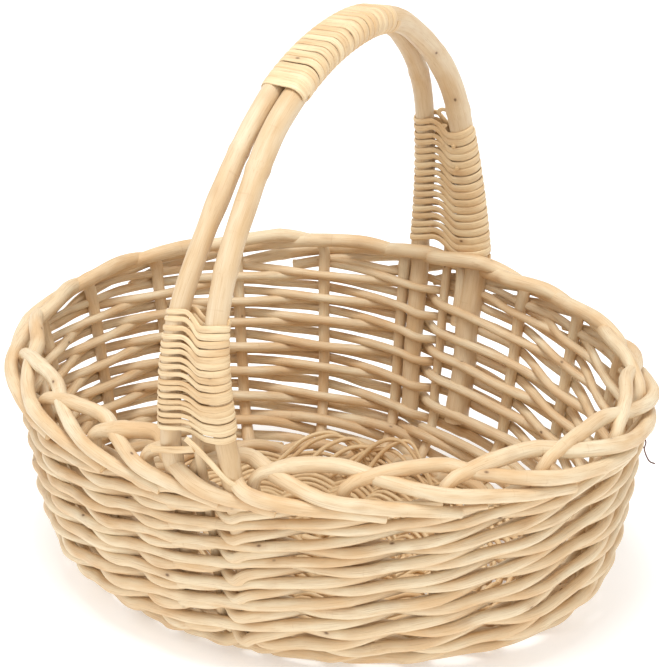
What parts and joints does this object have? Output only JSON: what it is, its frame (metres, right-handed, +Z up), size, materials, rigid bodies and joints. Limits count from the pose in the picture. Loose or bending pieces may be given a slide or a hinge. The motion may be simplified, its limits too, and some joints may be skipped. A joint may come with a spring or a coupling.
{
  "type": "egg collection basket",
  "caption": "Oval open basket of woven peeled willow with a fixed double-rod handle arched across its short axis and a skein-wrapped grip.",
  "frame": {"origin": "centre of the outline, on the surface the basket stands on", "axes": "+X along the long axis of the oval, +Y across it in the plane of the handle, +Z up"},
  "size_m": [0.3785, 0.3215, 0.3219],
  "materials": {
    "stake_willow": "peeled willow rod, satin",
    "wale_willow": "peeled willow rod, satin",
    "base_willow": "peeled willow rod, satin",
    "handle_willow": "peeled willow rod, satin",
    "skein_willow": "split willow skein, satin"
  },
  "bodies": {
    "root": {"border_stake_01": "stake_willow", "border_stake_02": "stake_willow", "border_stake_03": "stake_willow", "border_stake_04": "stake_willow", "border_stake_05": "stake_willow", "border_stake_06": "stake_willow", "border_stake_07": "stake_willow", "border_stake_08": "stake_willow", "border_stake_09": "stake_willow", "border_stake_10": "stake_willow", "border_stake_11": "stake_willow", "border_stake_12": "stake_willow", "border_stake_13": "stake_willow", "border_stake_14": "stake_willow", "border_stake_15": "stake_willow", "border_stake_16": "stake_willow", "border_stake_17": "stake_willow", "border_stake_18": "stake_willow", "border_stake_19": "stake_willow", "handle_stake_near": "stake_willow", "handle_stake_far": "stake_willow", "wale_rod_01": "wale_willow", "wale_rod_02": "wale_willow", "wale_rod_03": "wale_willow", "wale_rod_04": "wale_willow", "wale_rod_05": "wale_willow", "wale_rod_06": "wale_willow", "wale_rod_07": "wale_willow", "wale_rod_08": "wale_willow", "wale_rod_09": "wale_willow", "wale_rod_10": "wale_willow", "wale_rod_11": "wale_willow", "wale_rod_12": "wale_willow", "wale_rod_13": "wale_willow", "wale_rod_14": "wale_willow", "wale_rod_15": "wale_willow", "long_base_stick_1": "base_willow", "long_base_stick_2": "base_willow", "long_base_stick_3": "base_willow", "short_base_stick_1": "base_willow", "short_base_stick_2": "base_willow", "short_base_stick_3": "base_willow", "short_base_stick_4": "base_willow", "short_base_stick_5": "base_willow", "short_base_stick_6": "base_willow", "short_base_stick_7": "base_willow", "base_weaver_lower": "base_willow", "base_weaver_upper": "base_willow", "handle_rod_left": "handle_willow", "handle_rod_right": "handle_willow", "grip_wrap": "skein_willow", "lashing_near": "skein_willow", "lashing_far": "skein_willow"}
  },
  "joints": []
}
